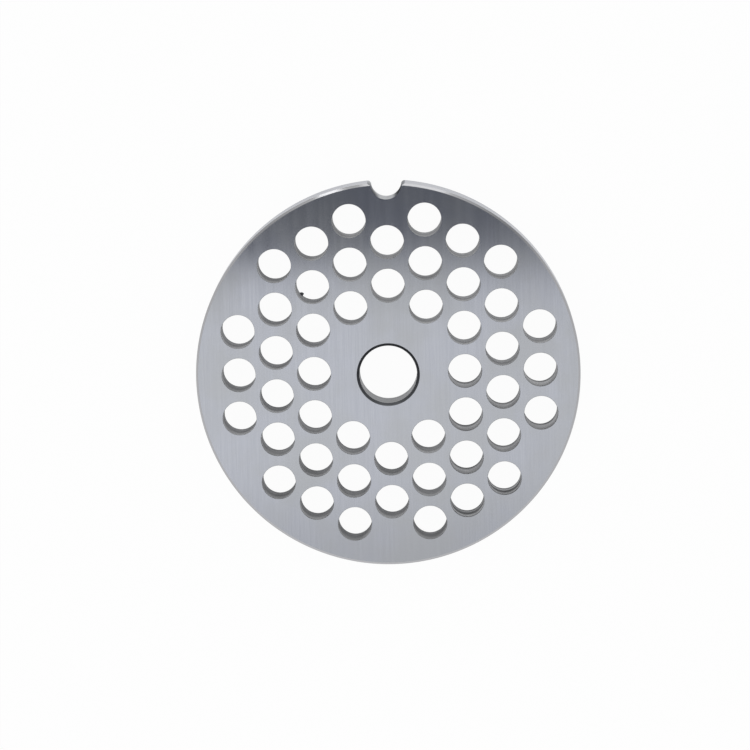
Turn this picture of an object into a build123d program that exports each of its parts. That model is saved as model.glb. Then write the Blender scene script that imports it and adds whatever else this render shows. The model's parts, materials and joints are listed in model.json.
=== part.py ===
"""Meat grinder plate: a flat ground steel disc with a hexagonal field of round cutting holes.

The feed screw's stud turns in the centre bore, the half-round notch in the rim drops over
the locking pin in the grinder's head, and the rotating knife sweeps the ground face.

Frame: the origin is the middle of the lower face, on the axis of the bore. +Z goes through
the plate to its cutting face and +Y goes through the locking notch. Millimetres.
"""

from build123d import *
from math import cos, hypot, radians, sin, sqrt
import os

# Disc
plate_diameter = 70.0
plate_thickness = 8.0
rim_chamfer = 0.4

# Centre bore, chamfered at both faces
bore_diameter = 10.5
bore_chamfer = 0.5

# Half-round locking notch, struck from a point just inside the rim circle, with a rounded mouth
notch_radius = 2.8
notch_inset = 0.23
notch_mouth_radius = 0.6
notch_direction = 90.0

# Cutting holes, on a hexagonal lattice with one of its rows along the notch direction
hole_diameter = 6.15
hole_pitch = 7.93

# The clamping slack that sets the notch and the drilled field a little off the plate's axis
clamping_shift_across = 0.25
field_shift_along = 0.42

# Solid metal that the field of holes leaves standing
hub_land = 4.5
rim_land = 3.0
notch_land = 3.0


def on_plate(along, across):
    """The plate's x and y of a point given along and across the notch direction."""
    angle = radians(notch_direction)
    return along * cos(angle) + across * sin(angle), along * sin(angle) - across * cos(angle)


def notched_outline():
    """The disc seen from above: a circle with the half-round notch and its rounded mouth."""
    x, y = on_plate(plate_diameter / 2 - notch_inset, clamping_shift_across)
    cutter = Pos(x, y) * Rot(0, 0, notch_direction) * Circle(notch_radius)
    outline = Circle(plate_diameter / 2) - cutter
    mouth = [v for v in outline.vertices() if hypot(v.X - x, v.Y - y) < notch_radius * 1.01]
    return fillet(mouth, notch_mouth_radius)


def turned_rim():
    """The space inside the rim's two chamfers, cut a little wide between them."""
    radius = plate_diameter / 2
    profile = Polyline(
        (0, 0),
        (radius - rim_chamfer, 0),
        (radius + rim_chamfer, 2 * rim_chamfer),
        (radius + rim_chamfer, plate_thickness - 2 * rim_chamfer),
        (radius - rim_chamfer, plate_thickness),
        (0, plate_thickness),
        close=True,
    )
    return revolve(Plane.XZ * make_face(profile), Axis.Z)


def disc():
    """The notched blank, with a small chamfer round the rim at both faces."""
    return extrude(notched_outline(), plate_thickness) & turned_rim()


def bore():
    """The metal that the centre bore takes away, with a countersink at each face."""
    radius = bore_diameter / 2
    profile = Polyline(
        (0, 0),
        (radius + bore_chamfer, 0),
        (radius, bore_chamfer),
        (radius, plate_thickness - bore_chamfer),
        (radius + bore_chamfer, plate_thickness),
        (0, plate_thickness),
        close=True,
    )
    return revolve(Plane.XZ * make_face(profile), Axis.Z)


def stays_solid(along, across):
    """True where a cutting hole would break into the land of the hub, the rim or the notch."""
    from_axis = hypot(along, across)
    from_notch = hypot(along - plate_diameter / 2 + notch_inset, across)
    hole_radius = hole_diameter / 2
    return (
        from_axis - hole_radius < bore_diameter / 2 + hub_land
        or from_axis + hole_radius > plate_diameter / 2 - rim_land
        or from_notch - hole_radius < notch_radius + notch_land
    )


def hole_centres():
    """The lattice points that are drilled: every one that clears the three lands."""
    reach = int(plate_diameter / hole_pitch) + 1
    centres = []
    for row in range(-reach, reach + 1):
        for step in range(-2 * reach, 2 * reach + 1):
            if (row + step) % 2:
                continue
            along = step * hole_pitch / 2
            across = row * hole_pitch * sqrt(3) / 2
            if stays_solid(along, across):
                continue
            centres.append(on_plate(along + field_shift_along, across + clamping_shift_across))
    return centres


def cutting_holes():
    """The drills of the whole field, straight through the plate and left with sharp edges."""
    drills = Sketch() + [Pos(x, y) * Circle(hole_diameter / 2) for x, y in hole_centres()]
    return extrude(drills, plate_thickness)


def grinder_plate():
    """The finished plate: one solid."""
    plate = disc() - bore() - cutting_holes()
    plate.label = "grinder_plate"
    return plate


os.makedirs("parts", exist_ok=True)
export_step(grinder_plate(), "parts/grinder_plate.step")
print(f"grinder_plate: {len(hole_centres())} cutting holes")
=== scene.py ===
"""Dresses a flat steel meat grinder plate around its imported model.

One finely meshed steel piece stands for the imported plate. Its faces are straight-ground, its
cutting holes drilled, its bore reamed and countersunk, and its rim turned, each with its own
finish. A crumb of burr hangs in the mouth of one hole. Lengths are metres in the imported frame:
the origin is the middle of the lower face, +Z goes through the plate and +Y through the notch.
"""

from __future__ import annotations

import json
import logging
import math
import random
from dataclasses import dataclass
from enum import Enum

import bmesh
import bpy
from mathutils import Matrix, Vector


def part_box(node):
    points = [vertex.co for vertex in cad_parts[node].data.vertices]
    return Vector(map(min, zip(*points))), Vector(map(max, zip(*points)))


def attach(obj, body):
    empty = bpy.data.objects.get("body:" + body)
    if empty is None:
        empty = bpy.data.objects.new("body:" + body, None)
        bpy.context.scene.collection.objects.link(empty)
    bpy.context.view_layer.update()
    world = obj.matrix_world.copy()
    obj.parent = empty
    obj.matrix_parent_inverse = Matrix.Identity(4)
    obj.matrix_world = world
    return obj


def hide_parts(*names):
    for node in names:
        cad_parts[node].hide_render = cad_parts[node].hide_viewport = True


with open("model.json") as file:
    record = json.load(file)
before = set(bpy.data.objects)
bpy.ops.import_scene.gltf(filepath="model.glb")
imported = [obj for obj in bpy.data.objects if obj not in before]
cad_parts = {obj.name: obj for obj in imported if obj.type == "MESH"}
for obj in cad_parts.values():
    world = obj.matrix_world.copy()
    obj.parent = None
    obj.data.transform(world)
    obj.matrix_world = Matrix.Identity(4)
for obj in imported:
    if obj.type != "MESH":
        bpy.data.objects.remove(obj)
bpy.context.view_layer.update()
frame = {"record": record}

LOG = logging.getLogger("grinder_plate")
MM = 0.001
NODE = "grinder_plate"
MARKS = "marks"
# Name of the mesh attribute that holds painted shade: how far each corner's colour is drawn darker
PAINTED_SHADE = "painted_shade"
FULL_TURN = math.tau
FLUSH = 1e-7
FEED_SEED = 12
CRUMB_SEED = 7

# Sockets of a Mix node that mixes colours
MIX_A = 6
MIX_B = 7
MIXED = 2

# Octaves of each noise, and the strength of the finer ones
FINE_NOISE = (3.0, 0.6)
BROAD_NOISE = (2.0, 0.5)
CLOUD_NOISE = (4.0, 0.55)

# The broad marks as a share of the fine ones, and the part of each noise that shows
BROAD_SHARE = 0.22
CREST_RANGE = (0.3, 0.7)
STREAK_RANGE = (0.35, 0.65)
PATCH_RANGE = (0.35, 0.68)


class Surface(Enum):
    """The kinds of steel surface, the plate's in the order of its material slots."""

    GROUND_FACE = 0
    HOLE_WALL = 1
    BORE_WALL = 2
    COUNTERSINK = 3
    RIM = 4
    RIM_CHAMFER = 5
    NOTCH_WALL = 6
    BURR = 7


# ---------------------------------------------------------------- sizes


@dataclass(frozen=True)
class PlateSizes:
    """The plate's sizes in metres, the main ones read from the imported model.

    Attributes:
        radius: Radius of the rim.
        thickness: Height of the plate.
        rim_chamfer: Leg of the chamfer round the rim.
        bore_radius: Radius of the centre bore.
        bore_chamfer: Leg of the bore's countersinks.
        notch_bottom: The deepest point of the half-round notch, seen from above.
        notch_radius: Radius of the notch.
        notch_mouth_radius: Radius of the two corners where the notch meets the rim.
        hole_radius: Radius of a cutting hole.
        hole_pitch: Distance between neighbouring holes.
        field_shift: How far the drilled field sits off the axis, across and along the notch.
        hub_land: Solid metal kept round the bore.
        rim_land: Solid metal kept inside the rim.
        notch_land: Solid metal kept round the notch.
        edge_break: Leg of the tiny bevel that grinding leaves on sharp edges.
    """

    radius: float
    thickness: float
    rim_chamfer: float
    bore_radius: float
    bore_chamfer: float
    notch_bottom: Vector
    notch_radius: float = 2.8 * MM
    notch_mouth_radius: float = 0.6 * MM
    hole_radius: float = 3.075 * MM
    hole_pitch: float = 7.93 * MM
    field_shift: tuple[float, float] = (0.25 * MM, 0.42 * MM)
    hub_land: float = 4.5 * MM
    rim_land: float = 3.0 * MM
    notch_land: float = 3.0 * MM
    edge_break: float = 0.05 * MM

    @classmethod
    def from_frame(cls) -> PlateSizes:
        """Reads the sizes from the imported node's box and the record's mounts.

        Returns:
            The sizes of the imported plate.
        """
        low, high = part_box(NODE)
        thickness = high.z - low.z
        mounts = {mount["name"]: mount for mount in frame["record"]["mounts"]}
        rim = mounts["rim"]["dims"]
        bore = mounts["bore"]["dims"]
        radius = rim["r_mm"] * MM
        return cls(
            radius=radius,
            thickness=thickness,
            rim_chamfer=(thickness - rim["length_mm"] * MM) / 2,
            bore_radius=bore["r_mm"] * MM,
            bore_chamfer=(thickness - bore["length_mm"] * MM) / 2,
            notch_bottom=Vector(mounts["locking_notch"]["pos_m"][:2]),
        )

    def notch_centre(self) -> Vector:
        """Returns the point that the notch is struck from, seen from above."""
        return self.notch_bottom + Vector((0, self.notch_radius))

    def mouth_centre(self, side: int) -> Vector:
        """Finds what a rounded corner of the notch's mouth is struck from, seen from above.

        Args:
            side: -1 for the corner at -X, 1 for the one at +X.

        Returns:
            The corner's centre, which is tangent to both the rim and the notch.
        """
        inside_rim = self.radius - self.notch_mouth_radius
        off_notch = self.notch_radius + self.notch_mouth_radius
        return crossing(self.notch_centre(), off_notch, inside_rim, side)

    def hole_centres(self) -> list[Vector]:
        """Lists the drilled lattice points, row by row.

        Returns:
            The centres of the cutting holes, on the lower face's plane.
        """
        reach = int(2 * self.radius / self.hole_pitch) + 1
        centres = []
        for row in range(-reach, reach + 1):
            for step in range(-2 * reach, 2 * reach + 1):
                if (row + step) % 2:
                    continue
                x = row * self.hole_pitch * math.sqrt(3) / 2
                y = step * self.hole_pitch / 2
                if self.clears_lands(x, y):
                    centres.append(Vector((x, y, 0)) + Vector((*self.field_shift, 0)))
        return centres

    def clears_lands(self, x: float, y: float) -> bool:
        """Tells whether a hole may be drilled at a point.

        Args:
            x: The hole's place across the field.
            y: The hole's place along it, towards the notch.

        Returns:
            True where the hole stays clear of the hub, rim and notch lands.
        """
        from_axis = math.hypot(x, y)
        from_notch = math.hypot(x, y - self.notch_centre().y)
        return (
            from_axis - self.hole_radius >= self.bore_radius + self.hub_land
            and from_axis + self.hole_radius <= self.radius - self.rim_land
            and from_notch - self.hole_radius >= self.notch_radius + self.notch_land
        )


def crossing(centre: Vector, radius: float, about_axis: float, side: int) -> Vector:
    """Finds where a circle crosses another one that is struck from the plate's axis.

    Args:
        centre: The first circle's centre, seen from above.
        radius: The first circle's radius.
        about_axis: The radius of the circle about the axis.
        side: -1 for the crossing at -X, 1 for the one at +X.

    Returns:
        The crossing, or the nearest point to it where the circles only touch.
    """
    distance = centre.length
    along = (about_axis**2 + distance**2 - radius**2) / (2 * distance)
    aside = math.sqrt(max(about_axis**2 - along**2, 0.0))
    outwards = centre / distance
    return outwards * along + Vector((outwards.y, -outwards.x)) * aside * side


def ramp(value: float, low: float, high: float) -> float:
    """Returns how far a value has come from one number to another, from 0 to 1."""
    return min(1.0, max(0.0, (value - low) / (high - low)))


# ---------------------------------------------------------------- shader tools


class Shader:
    """Places nodes in a material's or group's tree, and links them."""

    def __init__(self, tree: bpy.types.NodeTree) -> None:
        """Keeps the tree and empties it.

        Args:
            tree: The node tree to fill.
        """
        self.tree = tree
        tree.nodes.clear()

    def node(self, kind: str, **settings: object) -> bpy.types.Node:
        """Adds a node.

        Args:
            kind: The node's type name.
            **settings: Properties to set on it.

        Returns:
            The new node.
        """
        made = self.tree.nodes.new(kind)
        for name, value in settings.items():
            setattr(made, name, value)
        return made

    def feed(self, socket: bpy.types.NodeSocket, value: object) -> None:
        """Links an output to a socket, or sets the socket's own value.

        Args:
            socket: The input to fill.
            value: An output socket, or a plain value.
        """
        if isinstance(value, bpy.types.NodeSocket):
            self.tree.links.new(value, socket)
        else:
            socket.default_value = value

    def math(self, operation: str, a: object, b: object = 0.0) -> bpy.types.NodeSocket:
        """Adds a Math node and returns its output.

        Args:
            operation: The node's operation.
            a: The first operand, a socket or a number.
            b: The second operand.

        Returns:
            The result.
        """
        made = self.node("ShaderNodeMath", operation=operation)
        self.feed(made.inputs[0], a)
        self.feed(made.inputs[1], b)
        return made.outputs[0]

    def remap(
        self, value: object, low: float, high: float, to_low: float, to_high: float
    ) -> bpy.types.NodeSocket:
        """Maps a value from one range to another, clamped.

        Args:
            value: The value to map.
            low: The lower end of its range.
            high: The upper end of its range.
            to_low: The result at the lower end.
            to_high: The result at the upper end.

        Returns:
            The mapped value.
        """
        made = self.node("ShaderNodeMapRange", interpolation_type="SMOOTHSTEP")
        for socket, number in zip(made.inputs, (value, low, high, to_low, to_high)):
            self.feed(socket, number)
        return made.outputs["Result"]

    def noise(
        self, vector: object, scale: object, detail: float, roughness: float
    ) -> bpy.types.NodeSocket:
        """Adds a 3D noise and returns its value.

        Args:
            vector: Where the noise is read.
            scale: Its frequency, in features per unit.
            detail: Its octaves.
            roughness: The strength of the finer octaves.

        Returns:
            A value about 0.5.
        """
        made = self.node("ShaderNodeTexNoise")
        self.feed(made.inputs["Vector"], vector)
        self.feed(made.inputs["Scale"], scale)
        made.inputs["Detail"].default_value = detail
        made.inputs["Roughness"].default_value = roughness
        return made.outputs["Fac"]

    def blend(self, share: object, a: object, b: object) -> bpy.types.NodeSocket:
        """Mixes two colours.

        Args:
            share: How much of the second colour shows.
            a: The first colour.
            b: The second colour.

        Returns:
            The mixed colour.
        """
        made = self.node("ShaderNodeMix", data_type="RGBA")
        self.feed(made.inputs["Factor"], share)
        self.feed(made.inputs[MIX_A], a)
        self.feed(made.inputs[MIX_B], b)
        return made.outputs[MIXED]


def new_group(
    name: str, takes: dict[str, float], gives: list[str]
) -> tuple[Shader, bpy.types.Node, bpy.types.Node]:
    """Starts a shader node group of float values that reads one vector.

    Args:
        name: The group's name.
        takes: Its float inputs and their defaults, after its Vector input.
        gives: Its float outputs.

    Returns:
        The group's shader, its input node and its output node.
    """
    group = bpy.data.node_groups.new(name, "ShaderNodeTree")
    shader = Shader(group)
    group.interface.new_socket("Vector", in_out="INPUT", socket_type="NodeSocketVector")
    for label, default in takes.items():
        socket = group.interface.new_socket(label, in_out="INPUT", socket_type="NodeSocketFloat")
        socket.default_value = default
    for label in gives:
        group.interface.new_socket(label, in_out="OUTPUT", socket_type="NodeSocketFloat")
    return shader, shader.node("NodeGroupInput"), shader.node("NodeGroupOutput")


def tool_mark_group() -> bpy.types.NodeTree:
    """Builds the group for the fine lines that grinding, turning and drilling leave.

    Its vector has X across the lines and Y along them.

    Returns:
        A group with inputs Vector, Lines (per metre) and Stretch, and outputs Fine and Broad.
    """
    shader, given, out = new_group(
        "tool_marks", {"Lines": 4000.0, "Stretch": 0.02}, ["Fine", "Broad"]
    )
    parts = shader.node("ShaderNodeSeparateXYZ")
    shader.feed(parts.inputs[0], given.outputs["Vector"])
    along = shader.math("MULTIPLY", parts.outputs["Y"], given.outputs["Stretch"])
    aside = shader.math("MULTIPLY", parts.outputs["Z"], given.outputs["Stretch"])
    drawn = shader.node("ShaderNodeCombineXYZ")
    for socket, value in zip(drawn.inputs, (parts.outputs["X"], along, aside)):
        shader.feed(socket, value)
    broad_lines = shader.math("MULTIPLY", given.outputs["Lines"], BROAD_SHARE)
    fine = shader.noise(drawn.outputs[0], given.outputs["Lines"], *FINE_NOISE)
    broad = shader.noise(drawn.outputs[0], broad_lines, *BROAD_NOISE)
    shader.feed(out.inputs["Fine"], fine)
    shader.feed(out.inputs["Broad"], broad)
    return shader.tree


def handling_group() -> bpy.types.NodeTree:
    """Builds the group for the faint cloudy patches that handling and oil leave.

    Returns:
        A group with inputs Vector and Patches (per metre), and the output Patch.
    """
    shader, given, out = new_group("handling", {"Patches": 90.0}, ["Patch"])
    cloud = shader.noise(given.outputs["Vector"], given.outputs["Patches"], *CLOUD_NOISE)
    shader.feed(out.inputs["Patch"], shader.remap(cloud, *PATCH_RANGE, 0.0, 1.0))
    return shader.tree


# ---------------------------------------------------------------- finishes


@dataclass(frozen=True)
class SteelFinish:
    """A machined steel surface: its greys, its tool marks and its polish.

    Attributes:
        name: The material's name.
        dark: The grey at the bottom of the marks, linear.
        light: The grey of the crests.
        roughness: The mean roughness.
        mark_roughness: How much the broad marks roughen it.
        lines: Tool marks per metre across them.
        stretch: How drawn out the marks are along themselves.
        depth: Height of the marks.
        rings: True where the marks run round an axis, False where they run along Y.
        darkening: The grey that painted shade and a cloudy patch of oil and dust draw the steel
            towards.
        darkening_roughness: How much that darkening roughens it.
        patch_film: How far a cloudy patch of oil and dust darkens the steel, from 0 to 1.
        patches: Cloudy patches per metre.
        patch_roughness: How much a patch roughens the steel.
        anisotropy: How far highlights are drawn out across the marks.
    """

    name: str
    dark: tuple[float, float, float]
    light: tuple[float, float, float]
    roughness: float
    mark_roughness: float
    lines: float
    stretch: float
    depth: float
    rings: bool
    darkening: tuple[float, float, float] = (0.10, 0.105, 0.115)
    darkening_roughness: float = 0.0
    patch_film: float = 0.0
    patches: float = 90.0
    patch_roughness: float = 0.04
    anisotropy: float = 0.5

    def material(self, groups: dict[str, bpy.types.NodeTree]) -> bpy.types.Material:
        """Builds the material.

        Args:
            groups: The shared node groups by name.

        Returns:
            The finished material.
        """
        made = bpy.data.materials.new(self.name)
        made.use_nodes = True
        shader = Shader(made.node_tree)
        place = shader.node("ShaderNodeTexCoord").outputs["Object"]
        if self.rings:
            parts = shader.node("ShaderNodeSeparateXYZ")
            shader.feed(parts.inputs[0], place)
            turned = shader.node("ShaderNodeCombineXYZ")
            for socket, axis in zip(turned.inputs, "ZXY"):
                shader.feed(socket, parts.outputs[axis])
            across = turned.outputs[0]
        else:
            across = place
        marks = shader.node("ShaderNodeGroup", node_tree=groups["tool_marks"])
        shader.feed(marks.inputs["Vector"], across)
        shader.feed(marks.inputs["Lines"], self.lines)
        shader.feed(marks.inputs["Stretch"], self.stretch)
        handling = shader.node("ShaderNodeGroup", node_tree=groups["handling"])
        shader.feed(handling.inputs["Vector"], place)
        shader.feed(handling.inputs["Patches"], self.patches)

        crest = shader.remap(marks.outputs["Fine"], *CREST_RANGE, 0.0, 1.0)
        colour = shader.blend(crest, (*self.dark, 1.0), (*self.light, 1.0))
        # Painted shade from the mesh attribute, plus the cloudy patches of oil and dust, draws the
        # colour towards the darkening grey
        painted_shade = shader.node("ShaderNodeAttribute", attribute_name=PAINTED_SHADE)
        clouded = shader.math("MULTIPLY", handling.outputs["Patch"], self.patch_film)
        darkening = shader.math("ADD", painted_shade.outputs["Fac"], clouded)
        colour = shader.blend(darkening, colour, (*self.darkening, 1.0))
        streak = shader.remap(marks.outputs["Broad"], *STREAK_RANGE, 0.0, self.mark_roughness)
        patch = shader.math("MULTIPLY", handling.outputs["Patch"], self.patch_roughness)
        dull = shader.math("MULTIPLY", darkening, self.darkening_roughness)
        rough = shader.math("ADD", shader.math("ADD", streak, patch), dull)
        polish = shader.math("ADD", rough, self.roughness)
        height = shader.math("ADD", marks.outputs["Fine"], marks.outputs["Broad"])
        bump = shader.node("ShaderNodeBump")
        bump.inputs["Strength"].default_value = 1.0
        bump.inputs["Distance"].default_value = self.depth
        shader.feed(bump.inputs["Height"], height)

        steel = shader.node("ShaderNodeBsdfPrincipled")
        steel.inputs["Metallic"].default_value = 1.0
        shader.feed(steel.inputs["Base Color"], colour)
        shader.feed(steel.inputs["Roughness"], polish)
        shader.feed(steel.inputs["Normal"], bump.outputs["Normal"])
        if self.anisotropy:
            steel.inputs["Anisotropic"].default_value = self.anisotropy
            tangent = shader.node("ShaderNodeTangent", direction_type="UV_MAP", uv_map=MARKS)
            shader.feed(steel.inputs["Tangent"], tangent.outputs["Tangent"])
        out = shader.node("ShaderNodeOutputMaterial")
        shader.feed(out.inputs["Surface"], steel.outputs["BSDF"])
        return made


FINISHES: dict[Surface, SteelFinish] = {
    Surface.GROUND_FACE: SteelFinish(
        "straight_ground_steel", (0.453, 0.471, 0.524), (0.488, 0.506, 0.560),
        roughness=0.15, mark_roughness=0.03, lines=3600.0, stretch=0.03, depth=0.002 * MM,
        rings=False, darkening=(0.450, 0.463, 0.480), patch_film=0.65,
    ),
    # Drilled walls: greys well below the face's, painted shade for the dim holes
    Surface.HOLE_WALL: SteelFinish(
        "shaded_drilled_steel", (0.30, 0.305, 0.32), (0.365, 0.37, 0.385),
        roughness=0.36, mark_roughness=0.12, lines=1500.0, stretch=0.04, depth=0.006 * MM,
        rings=True, darkening=(0.05, 0.052, 0.056), darkening_roughness=0.35, patch_film=0.12,
        patches=200.0,
    ),
    # Reamed bore: greys far below the face's, painted shade in the bore
    Surface.BORE_WALL: SteelFinish(
        "shaded_reamed_steel", (0.137, 0.142, 0.150), (0.197, 0.202, 0.214),
        roughness=0.30, mark_roughness=0.10, lines=3000.0, stretch=0.02, depth=0.003 * MM,
        rings=True,
    ),
    # Countersinks: greys far below the face's, a painted dark reflection of the room round the
    # plate
    Surface.COUNTERSINK: SteelFinish(
        "shaded_countersunk_steel", (0.115, 0.12, 0.13), (0.16, 0.165, 0.175),
        roughness=0.32, mark_roughness=0.08, lines=3000.0, stretch=0.02, depth=0.002 * MM,
        rings=True, darkening=(0.06, 0.063, 0.07),
    ),
    Surface.RIM: SteelFinish(
        "turned_steel", (0.38, 0.39, 0.43), (0.48, 0.49, 0.53),
        roughness=0.26, mark_roughness=0.10, lines=4200.0, stretch=0.004, depth=0.004 * MM,
        rings=True,
    ),
    Surface.RIM_CHAMFER: SteelFinish(
        "chamfered_steel", (0.38, 0.38, 0.39), (0.48, 0.48, 0.50),
        roughness=0.13, mark_roughness=0.06, lines=4200.0, stretch=0.004, depth=0.002 * MM,
        rings=True,
    ),
    Surface.NOTCH_WALL: SteelFinish(
        "milled_steel", (0.38, 0.39, 0.41), (0.50, 0.51, 0.53),
        roughness=0.30, mark_roughness=0.10, lines=1800.0, stretch=0.02, depth=0.003 * MM,
        rings=True, darkening=(0.045, 0.046, 0.05), darkening_roughness=0.55,
    ),
    Surface.BURR: SteelFinish(
        "torn_steel", (0.42, 0.43, 0.45), (0.55, 0.56, 0.58),
        roughness=0.55, mark_roughness=0.10, lines=9000.0, stretch=0.3, depth=0.01 * MM,
        rings=True, anisotropy=0.0,
    ),
}


# ---------------------------------------------------------------- the plate


@dataclass
class GrinderPlate:
    """The drilled, bored, notched and ground disc.

    Attributes:
        sizes: The plate's sizes.
        rim_steps: Straight steps round the rim.
        notch_steps: Steps round the notch.
        mouth_steps: Steps round each corner of its mouth.
        bore_steps: Steps round the bore.
        hole_steps: Steps round each cutting hole.
        feed_rings: Rings of drill feed marks down each hole's wall.
        feed_depth: How far a feed mark stands off the wall.
        wall_shade: The painted shade on a hole's wall at the lower and the upper face.
        shade_drift: How much lighter that painted shade gets per metre towards the notch.
        banded_from: Where the holes with banded walls begin, across and along the field.
        deep_from: Where along the field their bands come twice as close.
        band_contrast: How much darker the painted shade is in a band, and how much lighter between
            two.
        bore_top_shade: The painted shade at the top of the bore's wall, which has none at the
            bottom.
        notch_shade: The painted shade at the top of the notch's bottom, and what its flanks add.
        flank_reach: How far its walls face sideways where that starts, and where it is full.
        flank_top: How far they face away from its mouth where that starts, and where it is full.
        painted_dark_reflections: Painted dark reflections on the rim's chamfers: where round the
            axis, how wide, and how dark.
        crisp_angle: The angle between two faces from which their edge is crisp.
    """

    sizes: PlateSizes
    rim_steps: int = 320
    notch_steps: int = 48
    mouth_steps: int = 8
    bore_steps: int = 128
    hole_steps: int = 64
    feed_rings: int = 11
    feed_depth: float = 0.012 * MM
    wall_shade: tuple[float, float] = (0.37, 0.0)
    shade_drift: float = 4.0
    banded_from: tuple[float, float] = (12.0 * MM, 1.0 * MM)
    deep_from: float = -17.0 * MM
    band_contrast: float = 0.27
    bore_top_shade: float = 0.4
    notch_shade: tuple[float, float] = (0.1, 0.9)
    flank_reach: tuple[float, float] = (0.42, 0.75)
    flank_top: tuple[float, float] = (-0.2, 0.4)
    painted_dark_reflections: tuple[tuple[float, float, float], ...] = (
        (math.radians(50), math.radians(13), 0.6),
        (math.radians(130), math.radians(10), 0.35),
    )
    crisp_angle: float = math.radians(25)

    def build(self) -> bpy.types.Object:
        """Builds and dresses the plate.

        Returns:
            The plate's object, in place in the scene.
        """
        bm = bmesh.new()
        self.turn_rim(bm)
        self.bore_centre(bm)
        self.drill_holes(bm)
        self.grind_faces(bm)
        bmesh.ops.recalc_face_normals(bm, faces=bm.faces)
        self.shade(bm)
        self.lay_out_marks(bm)
        self.paint_shade(bm)
        mesh = bpy.data.meshes.new("drilled_plate")
        bm.to_mesh(mesh)
        bm.free()
        plate = bpy.data.objects.new("drilled_plate", mesh)
        bpy.context.scene.collection.objects.link(plate)
        return plate

    def sweep(
        self, bm: bmesh.types.BMesh, start: bmesh.types.BMVert, centre: Vector, stop: Vector,
        turn: int, steps: int,
    ) -> bmesh.types.BMVert:
        """Spins a vertex along an arc until it reaches a point.

        Args:
            bm: The mesh to add to.
            start: The vertex that the arc starts from.
            centre: The arc's centre, seen from above.
            stop: The point that it ends at, seen from above.
            turn: 1 for an anticlockwise arc, -1 for a clockwise one.
            steps: Straight steps along it.

        Returns:
            The arc's last vertex.
        """
        arm = start.co.xy - centre
        angle = (-turn * arm.angle_signed(stop - centre)) % FULL_TURN
        swept = bmesh.ops.spin(
            bm, geom=[start], cent=(*centre, 0), axis=(0, 0, turn), angle=angle, steps=steps
        )
        return next(item for item in swept["geom_last"] if isinstance(item, bmesh.types.BMVert))

    def rim_outline(
        self, bm: bmesh.types.BMesh, radius: float, height: float
    ) -> list[bmesh.types.BMEdge]:
        """Sweeps one outline of the disc: the rim, the notch and the corners of its mouth.

        Args:
            bm: The mesh to add to.
            radius: The disc's radius at this height.
            height: The outline's height.

        Returns:
            The outline's edges.
        """
        size = self.sizes
        notch = size.notch_centre()
        corners = {side: size.mouth_centre(side) for side in (-1, 1)}
        mouth = {
            side: crossing(corner, size.notch_mouth_radius, radius, -side)
            for side, corner in corners.items()
        }
        flank = {
            side: notch + (corner - notch).normalized() * size.notch_radius
            for side, corner in corners.items()
        }
        before = set(bm.edges)
        vert = bm.verts.new((*mouth[1], height))
        vert = self.sweep(bm, vert, Vector((0, 0)), mouth[-1], -1, self.rim_steps)
        vert = self.sweep(bm, vert, corners[-1], flank[-1], -1, self.mouth_steps)
        vert = self.sweep(bm, vert, notch, flank[1], 1, self.notch_steps)
        self.sweep(bm, vert, corners[1], mouth[1], -1, self.mouth_steps)
        swept = [edge for edge in bm.edges if edge not in before]
        # In the mesh's own order, so that each run keeps the same one of two doubles
        verts = dict.fromkeys(vert for edge in swept for vert in edge.verts)
        bmesh.ops.remove_doubles(bm, verts=list(verts), dist=size.edge_break / 10)
        return [edge for edge in bm.edges if edge not in before]

    def turn_rim(self, bm: bmesh.types.BMesh) -> None:
        """Bridges the disc's outlines into its rim, chamfers and notch wall.

        Args:
            bm: The mesh to add to.
        """
        size = self.sizes
        inner = size.radius - size.rim_chamfer
        levels = (
            (inner, 0.0),
            (size.radius, size.rim_chamfer),
            (size.radius, size.thickness - size.rim_chamfer),
            (inner, size.thickness),
        )
        outlines = [self.rim_outline(bm, radius, height) for radius, height in levels]
        for lower, upper in zip(outlines, outlines[1:]):
            bmesh.ops.bridge_loops(bm, edges=lower + upper)
        notch = size.notch_centre()
        corner = size.mouth_centre(1)
        reach = (corner.normalized() * size.radius - notch).length
        for face in bm.faces:
            middle = face.calc_center_median()
            if (middle.xy - notch).length < reach:
                face.material_index = Surface.NOTCH_WALL.value
            elif size.rim_chamfer < middle.z < size.thickness - size.rim_chamfer:
                face.material_index = Surface.RIM.value
            else:
                face.material_index = Surface.RIM_CHAMFER.value

    def spin_wall(
        self,
        bm: bmesh.types.BMesh,
        centre: Vector,
        profile: list[tuple[float, float, Surface]],
        steps: int,
    ) -> None:
        """Spins a wall's profile round an upright axis.

        Args:
            bm: The mesh to add to.
            centre: A point on the axis.
            profile: Radius and height of the wall from the lower face up, each with the kind of
                surface that rises from it.
            steps: Steps round the axis.
        """
        wall = bmesh.new()
        verts = [wall.verts.new(centre + Vector((radius, 0, z))) for radius, z, _ in profile]
        edges = [wall.edges.new(pair) for pair in zip(verts, verts[1:])]
        bmesh.ops.spin(
            wall, geom=verts + edges, cent=centre, axis=(0, 0, 1), angle=FULL_TURN, steps=steps,
            use_merge=True,
        )
        for face in wall.faces:
            middle = face.calc_center_median().z
            below = [kind for _, height, kind in profile if height < middle]
            face.material_index = below[-1].value
        spun = bpy.data.meshes.new("spun_wall")
        wall.to_mesh(spun)
        wall.free()
        bm.from_mesh(spun)
        bpy.data.meshes.remove(spun)

    def bore_centre(self, bm: bmesh.types.BMesh) -> None:
        """Spins the bore's wall and its two countersinks.

        Args:
            bm: The mesh to add to.
        """
        size = self.sizes
        mouth = size.bore_radius + size.bore_chamfer
        profile = [
            (mouth, 0.0, Surface.COUNTERSINK),
            (size.bore_radius, size.bore_chamfer, Surface.BORE_WALL),
            (size.bore_radius, size.thickness - size.bore_chamfer, Surface.COUNTERSINK),
            (mouth, size.thickness, Surface.COUNTERSINK),
        ]
        self.spin_wall(bm, Vector(), profile, self.bore_steps)

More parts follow.
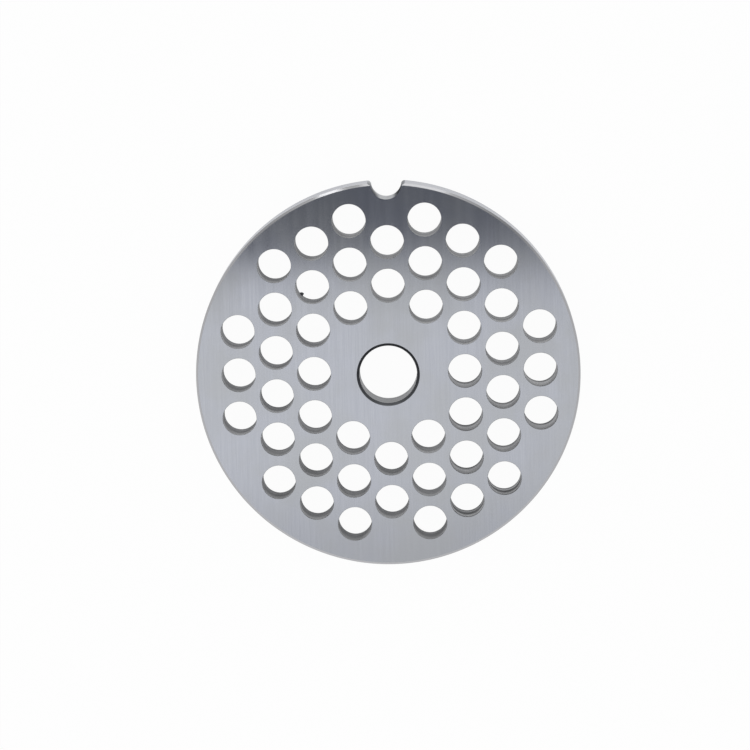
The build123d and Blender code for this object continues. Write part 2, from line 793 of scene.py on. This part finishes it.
    def drill_holes(self, bm: bmesh.types.BMesh) -> None:
        """Spins the wall of each cutting hole, with its own drill feed marks.

        Args:
            bm: The mesh to add to.
        """
        size = self.sizes
        mouth = size.hole_radius + size.edge_break
        drilled = size.thickness - 2 * size.edge_break
        feed = random.Random(FEED_SEED)
        for centre in size.hole_centres():
            profile = [(mouth, 0.0, Surface.HOLE_WALL)]
            for ring in range(self.feed_rings + 1):
                height = size.edge_break + drilled * ring / self.feed_rings
                mark = feed.uniform(0, self.feed_depth) if 0 < ring < self.feed_rings else 0.0
                profile.append((size.hole_radius + mark, height, Surface.HOLE_WALL))
            profile.append((mouth, size.thickness, Surface.HOLE_WALL))
            self.spin_wall(bm, centre, profile, self.hole_steps)

    def grind_faces(self, bm: bmesh.types.BMesh) -> None:
        """Closes the upper and lower faces between the walls' mouths.

        Args:
            bm: The mesh to close.
        """
        for height, up in ((0.0, -1.0), (self.sizes.thickness, 1.0)):
            mouths = [
                edge
                for edge in bm.edges
                if edge.is_boundary and all(abs(vert.co.z - height) < FLUSH for vert in edge.verts)
            ]
            filled = bmesh.ops.triangle_fill(
                bm, edges=mouths, use_beauty=True, normal=(0, 0, up)
            )
            for item in filled["geom"]:
                if isinstance(item, bmesh.types.BMFace):
                    item.material_index = Surface.GROUND_FACE.value

    def shade(self, bm: bmesh.types.BMesh) -> None:
        """Shades the walls smooth, with crisp edges between kinds of surface.

        Args:
            bm: The mesh to shade.
        """
        for face in bm.faces:
            face.smooth = face.material_index != Surface.GROUND_FACE.value
        for edge in bm.edges:
            kinds = {face.material_index for face in edge.link_faces}
            edge.smooth = len(kinds) == 1 and edge.calc_face_angle(math.pi) < self.crisp_angle

    def lay_out_marks(self, bm: bmesh.types.BMesh) -> None:
        """Lays out the map whose U direction runs across the tool marks.

        Args:
            bm: The mesh to lay out.
        """
        layer = bm.loops.layers.uv.new(MARKS)
        centres = self.sizes.hole_centres()
        for face in bm.faces:
            middle = face.calc_center_median()
            if face.material_index == Surface.GROUND_FACE.value:
                for loop in face.loops:
                    loop[layer].uv = (loop.vert.co.x, loop.vert.co.y)
                continue
            if face.material_index == Surface.HOLE_WALL.value:
                axis = min(centres, key=lambda centre: (centre.xy - middle.xy).length)
            elif face.material_index == Surface.NOTCH_WALL.value:
                axis = self.sizes.notch_centre().to_3d()
            else:
                axis = Vector()
            facing = (middle - axis).xy
            for loop in face.loops:
                arm = (loop.vert.co - axis).xy
                turn = facing.angle_signed(arm) + math.atan2(facing.y, facing.x)
                loop[layer].uv = (loop.vert.co.z, turn * facing.length)

    def paint_shade(self, bm: bmesh.types.BMesh) -> None:
        """Writes the painted shade on the walls and chamfers: how far each corner's colour is
        drawn darker.

        Args:
            bm: The mesh to wear.
        """
        layer = bm.loops.layers.float.new(PAINTED_SHADE)
        centres = self.sizes.hole_centres()
        shade_rules = {
            Surface.BORE_WALL.value: self.bore_shade_at,
            Surface.COUNTERSINK.value: self.countersink_shade_at,
            Surface.RIM_CHAMFER.value: self.rim_shade_at,
            Surface.NOTCH_WALL.value: self.notch_shade_at,
        }
        for face in bm.faces:
            if face.material_index == Surface.HOLE_WALL.value:
                middle = face.calc_center_median().xy
                centre = min(centres, key=lambda centre: (centre.xy - middle).length)
                for loop in face.loops:
                    loop[layer] = self.hole_shade_at(centre, loop.vert.co.z)
            elif face.material_index in shade_rules:
                for loop in face.loops:
                    loop[layer] = shade_rules[face.material_index](loop.vert.co)

    def hole_shade_at(self, centre: Vector, height: float) -> float:
        """Finds the painted shade on a hole's wall, darker towards the lower face and banded in
        some holes.

        Args:
            centre: The hole's centre.
            height: The height on its wall.

        Returns:
            The painted shade, where 1 is dark.
        """
        low, high = self.wall_shade
        rise = height / self.sizes.thickness
        darkening = low + (high - low) * rise - self.shade_drift * centre.y
        if centre.x > self.banded_from[0] and centre.y < self.banded_from[1]:
            turns = 2 if centre.y < self.deep_from else 1
            darkening += self.band_contrast * math.cos(FULL_TURN * turns * rise)
        return darkening

    def bore_shade_at(self, place: Vector) -> float:
        """Returns the painted shade at a point of the bore's wall, darker towards the top."""
        return self.bore_top_shade * place.z / self.sizes.thickness

    def countersink_shade_at(self, place: Vector) -> float:
        """Returns the painted shade on a countersink, which fades out only towards its -Y side."""
        return ramp(place.xy.normalized().y, -1.0, 0.0)

    def notch_shade_at(self, place: Vector) -> float:
        """Finds the painted shade on the notch's wall, which is darkest on its flanks.

        Args:
            place: A point of the wall.

        Returns:
            The painted shade, where 1 is dark.
        """
        facing = (place.xy - self.sizes.notch_centre()).normalized()
        bottom, flank = self.notch_shade
        sideways = ramp(abs(facing.x), *self.flank_reach)
        darkening = bottom + flank * sideways * ramp(-facing.y, *self.flank_top)
        return darkening if facing.x > 0 else darkening * place.z / self.sizes.thickness

    def rim_shade_at(self, place: Vector) -> float:
        """Returns the painted dark reflections at a point of the rim's chamfers."""
        around = math.atan2(place.y, place.x)
        return sum(
            darkness * math.exp(-(((around - middle) / width) ** 2))
            for middle, width, darkness in self.painted_dark_reflections
        )


@dataclass
class ExitBurr:
    """A crumb of metal left hanging where the drill broke out of one hole.

    Attributes:
        sizes: The plate's sizes.
        hole: A point near the middle of its hole.
        around: Where it sits round the hole's wall, anticlockwise from +X.
        height: Its middle above the lower face.
        length: Its length along the wall.
        width: Its thickness, of which a part is sunk in the wall.
        tall: Its height.
        sunk: The share of the thickness that is sunk.
        torn: How uneven its skin is, as a share of its size.
    """

    sizes: PlateSizes
    hole: tuple[float, float] = (-13.5 * MM, 16.3 * MM)
    around: float = math.radians(223.6)
    height: float = 0.45 * MM
    length: float = 0.7 * MM
    width: float = 0.75 * MM
    tall: float = 0.6 * MM
    sunk: float = 0.33
    torn: float = 0.18

    def build(self) -> bpy.types.Object:
        """Builds the crumb.

        Returns:
            The crumb's object, in place in the scene.
        """
        centres = self.sizes.hole_centres()
        centre = min(centres, key=lambda centre: (centre.xy - Vector(self.hole)).length)
        off_axis = self.sizes.hole_radius - self.width * (0.5 - self.sunk)
        turned = Matrix.Rotation(self.around, 4, "Z")
        place = Matrix.Translation(centre + Vector((0, 0, self.height))) @ turned
        place = place @ Matrix.Translation((off_axis, 0, 0))
        place = place @ Matrix.Diagonal((self.width, self.length, self.tall, 1))
        bm = bmesh.new()
        bmesh.ops.create_icosphere(bm, subdivisions=3, radius=0.5)
        crumb = random.Random(CRUMB_SEED)
        for vert in bm.verts:
            vert.co *= 1 + crumb.uniform(-self.torn, self.torn)
        bmesh.ops.smooth_vert(bm, verts=bm.verts, factor=0.5)
        bmesh.ops.transform(bm, matrix=place, verts=bm.verts)
        for face in bm.faces:
            face.smooth = True
        mesh = bpy.data.meshes.new("exit_burr")
        bm.to_mesh(mesh)
        bm.free()
        burr = bpy.data.objects.new("exit_burr", mesh)
        bpy.context.scene.collection.objects.link(burr)
        return burr


# ---------------------------------------------------------------- the studio


@dataclass(frozen=True)
class Lamp:
    """A soft rectangular lamp, aimed at the plate.

    Attributes:
        name: The lamp's name.
        place: Where it hangs.
        size: Its width and height.
        radiance: How bright its face is, where 1 is white.
    """

    name: str
    place: tuple[float, float, float]
    size: tuple[float, float]
    radiance: float

    def hang(self) -> None:
        """Hangs the lamp in the scene."""
        data = bpy.data.lights.new(self.name, "AREA")
        data.shape = "RECTANGLE"
        data.size, data.size_y = self.size
        data.energy = self.radiance * math.pi * data.size * data.size_y
        place = Vector(self.place)
        aim = (-place).to_track_quat("-Z", "Y").to_matrix().to_4x4()
        lamp = bpy.data.objects.new(self.name, data)
        lamp.visible_camera = False
        lamp.matrix_world = Matrix.Translation(place) @ aim
        bpy.context.scene.collection.objects.link(lamp)


@dataclass
class Studio:
    """A white sweep, soft lamps and a camera almost straight above the plate.

    Attributes:
        floor_half: Half the floor's side.
        floor_drop: How far the floor lies under the plate.
        floor_white: The grey of the floor's board.
        floor_glow: Share of the floor that shows as plain white.
        room_light: How bright the room's light is, where 1 is white.
        card_height: From the upper face to the graded card.
        card_half: Half the card's side.
        dark_edge: Where along Y the card turns dark at X = 0, and how far that leans per metre.
        dark_blend: Half the depth of that change at X = 0, and how much it grows per metre.
        least_blend: The least half depth, as a share of that at X = 0.
        dark_card: The card's dark end.
        dim_edge: Where along Y it starts and ends to turn dim.
        dim_side: Where along X it starts and ends to turn a little dim.
        side_share: How much of the dim end's dimness that side has.
        dim_card: Its dim end.
        lamps: The soft lamps.
        lens: Focal length in millimetres.
        sensor: The sensor's width in millimetres.
        tilt_x: The camera's turn about its own X, in radians.
        tilt_y: The camera's turn about its own Y.
        roll: The plate's turn about the view.
        centre_px: The pixel of the upper face's middle.
        distance: From the camera to the upper face's middle.
        frame_px: The picture's side in pixels.
    """

    floor_half: float = 3.0
    floor_drop: float = 0.02 * MM
    floor_white: float = 0.9
    floor_glow: float = 0.965
    room_light: float = 0.85
    card_height: float = 0.13
    card_half: float = 0.14
    dark_edge: tuple[float, float] = (0.0071, -0.015)
    dark_blend: tuple[float, float] = (0.0054, 0.125)
    least_blend: float = 0.25
    dark_card: tuple[float, float, float] = (0.165, 0.172, 0.192)
    dim_edge: tuple[float, float] = (-0.034, -0.056)
    dim_side: tuple[float, float] = (0.0, 0.018)
    side_share: float = 0.2
    dim_card: tuple[float, float, float] = (0.76, 0.76, 0.76)
    lamps: tuple[Lamp, ...] = (
        Lamp("key_lamp", (-0.5, -0.7, 0.9), (0.6, 0.6), 1.4),
        Lamp("back_lamp", (0.111, 0.99, 0.08), (0.52, 0.16), 0.88),
        Lamp("glint_lamp", (-0.33, 0.944, 0.075), (0.13, 0.16), 2.2),
    )
    lens: float = 219.5
    sensor: float = 36.0
    tilt_x: float = 0.1237
    tilt_y: float = 0.0109
    roll: float = -0.0198
    centre_px: tuple[float, float] = (388.24, 374.63)
    distance: float = 0.832
    frame_px: float = 750.0

    def place_camera(self, upper_face: float) -> None:
        """Aims the camera.

        Args:
            upper_face: Height of the plate's upper face.
        """
        data = bpy.data.cameras.new("camera")
        data.lens = self.lens
        data.sensor_width = self.sensor
        focal_px = self.lens / data.sensor_width * self.frame_px
        lean = Vector((self.tilt_x, self.tilt_y, 0))
        flip = Matrix.Diagonal((1, -1, -1))
        to_view = Matrix.Rotation(lean.length, 3, lean) @ Matrix.Rotation(self.roll, 3, "Z") @ flip
        offset = Vector(
            (
                (self.centre_px[0] - self.frame_px / 2) / focal_px,
                (self.centre_px[1] - self.frame_px / 2) / focal_px,
                1.0,
            )
        )
        place = -(to_view.transposed() @ (offset * self.distance)) + Vector((0, 0, upper_face))
        camera = bpy.data.objects.new("camera", data)
        camera.matrix_world = Matrix.Translation(place) @ (flip @ to_view).transposed().to_4x4()
        bpy.context.scene.collection.objects.link(camera)
        bpy.context.scene.camera = camera

    def lay_floor(self) -> None:
        """Lays the pale floor just under the plate."""
        bm = bmesh.new()
        below = Matrix.Translation((0, 0, -self.floor_drop))
        bmesh.ops.create_grid(bm, x_segments=1, y_segments=1, size=self.floor_half, matrix=below)
        mesh = bpy.data.meshes.new("floor")
        bm.to_mesh(mesh)
        bm.free()
        floor = bpy.data.objects.new("floor", mesh)
        floor.data.materials.append(self.floor_material())
        bpy.context.scene.collection.objects.link(floor)

    def floor_material(self) -> bpy.types.Material:
        """Builds the white floor, which still takes the plate's shadow.

        Returns:
            The floor's material.
        """
        made = bpy.data.materials.new("white_sweep")
        made.use_nodes = True
        shader = Shader(made.node_tree)
        board = shader.node("ShaderNodeBsdfDiffuse")
        board.inputs["Color"].default_value = (*[self.floor_white] * 3, 1.0)
        glow = shader.node("ShaderNodeEmission")
        share = shader.math("MULTIPLY", seen_as_background(shader), self.floor_glow)
        mixed = shader.node("ShaderNodeMixShader")
        shader.feed(mixed.inputs[0], share)
        shader.feed(mixed.inputs[1], board.outputs[0])
        shader.feed(mixed.inputs[2], glow.outputs[0])
        out = shader.node("ShaderNodeOutputMaterial")
        shader.feed(out.inputs["Surface"], mixed.outputs[0])
        return made

    def fill_world(self) -> None:
        """Fills the room with even white light."""
        world = bpy.data.worlds.new("room")
        bpy.context.scene.world = world
        world.use_nodes = True
        shader = Shader(world.node_tree)
        room = shader.node("ShaderNodeBackground")
        room.inputs["Strength"].default_value = self.room_light
        white = shader.node("ShaderNodeBackground")
        mixed = shader.node("ShaderNodeMixShader")
        shader.feed(mixed.inputs[0], seen_as_background(shader))
        shader.feed(mixed.inputs[1], room.outputs[0])
        shader.feed(mixed.inputs[2], white.outputs[0])
        out = shader.node("ShaderNodeOutputWorld")
        shader.feed(out.inputs["Surface"], mixed.outputs[0])

    def hang_card(self, upper_face: float) -> None:
        """Hangs the graded card that only the steel reflects.

        Args:
            upper_face: Height of the plate's upper face.
        """
        bm = bmesh.new()
        above = Matrix.Translation((0, 0, upper_face + self.card_height))
        bmesh.ops.create_grid(bm, x_segments=1, y_segments=1, size=self.card_half, matrix=above)
        mesh = bpy.data.meshes.new("card")
        bm.to_mesh(mesh)
        bm.free()
        card = bpy.data.objects.new("card", mesh)
        mesh.materials.append(self.card_material())
        card.visible_camera = False
        card.visible_diffuse = False
        card.visible_shadow = False
        bpy.context.scene.collection.objects.link(card)

    def card_material(self) -> bpy.types.Material:
        """Builds the card: white, dark towards the notch and a little dim at its other end.

        Returns:
            The card's material.
        """
        made = bpy.data.materials.new("graded_card")
        made.use_nodes = True
        shader = Shader(made.node_tree)
        parts = shader.node("ShaderNodeSeparateXYZ")
        shader.feed(parts.inputs[0], shader.node("ShaderNodeTexCoord").outputs["Object"])
        middle_depth, growth = self.dark_blend
        grown = shader.math("MULTIPLY", parts.outputs["X"], growth)
        least = middle_depth * self.least_blend
        depth = shader.math("MAXIMUM", shader.math("ADD", grown, middle_depth), least)
        edge, lean = self.dark_edge
        leaned = shader.math("ADD", shader.math("MULTIPLY", parts.outputs["X"], lean), edge)
        past_edge = shader.math("SUBTRACT", parts.outputs["Y"], leaned)
        dark = shader.remap(shader.math("DIVIDE", past_edge, depth), -1.0, 1.0, 0.0, 1.0)
        end = shader.remap(parts.outputs["Y"], *self.dim_edge, 0.0, 1.0)
        side = shader.remap(parts.outputs["X"], *self.dim_side, 0.0, self.side_share)
        dim = shader.math("ADD", end, side)
        colour = shader.blend(dim, (1.0, 1.0, 1.0, 1.0), (*self.dim_card, 1.0))
        colour = shader.blend(dark, colour, (*self.dark_card, 1.0))
        glow = shader.node("ShaderNodeEmission")
        shader.feed(glow.inputs["Color"], colour)
        out = shader.node("ShaderNodeOutputMaterial")
        shader.feed(out.inputs["Surface"], glow.outputs[0])
        return made


def seen_as_background(shader: Shader) -> bpy.types.NodeSocket:
    """Adds the test for rays that see the background as plain white.

    Args:
        shader: The tree that asks.

    Returns:
        1 for camera, glossy and transmission rays, and otherwise 0.
    """
    path = shader.node("ShaderNodeLightPath")
    seen = shader.math("MAXIMUM", path.outputs["Is Camera Ray"], path.outputs["Is Glossy Ray"])
    return shader.math("MAXIMUM", seen, path.outputs["Is Transmission Ray"])


# ---------------------------------------------------------------- making it


def dress(
    piece: bpy.types.Object,
    surfaces: list[Surface],
    materials: dict[Surface, bpy.types.Material],
) -> None:
    """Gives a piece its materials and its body.

    Args:
        piece: The finished piece.
        surfaces: The surfaces that it has, in the order of its slots.
        materials: The material of each surface.
    """
    for surface in surfaces:
        piece.data.materials.append(materials[surface])
    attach(piece, "root")
    LOG.info("%s: %d faces", piece.name, len(piece.data.polygons))


def main() -> None:
    """Builds the plate and its studio."""
    logging.basicConfig(level=logging.INFO, format="%(message)s")
    bpy.context.scene.view_settings.view_transform = "Standard"
    sizes = PlateSizes.from_frame()
    groups = {"tool_marks": tool_mark_group(), "handling": handling_group()}
    materials = {surface: finish.material(groups) for surface, finish in FINISHES.items()}

    studio = Studio()
    studio.place_camera(sizes.thickness)
    studio.lay_floor()
    studio.fill_world()
    studio.hang_card(sizes.thickness)
    for lamp in studio.lamps:
        lamp.hang()

    plate = GrinderPlate(sizes).build()
    dress(plate, [surface for surface in Surface if surface is not Surface.BURR], materials)
    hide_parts(NODE)
    dress(ExitBurr(sizes).build(), [Surface.BURR], materials)


if __name__ == "__main__":
    main()
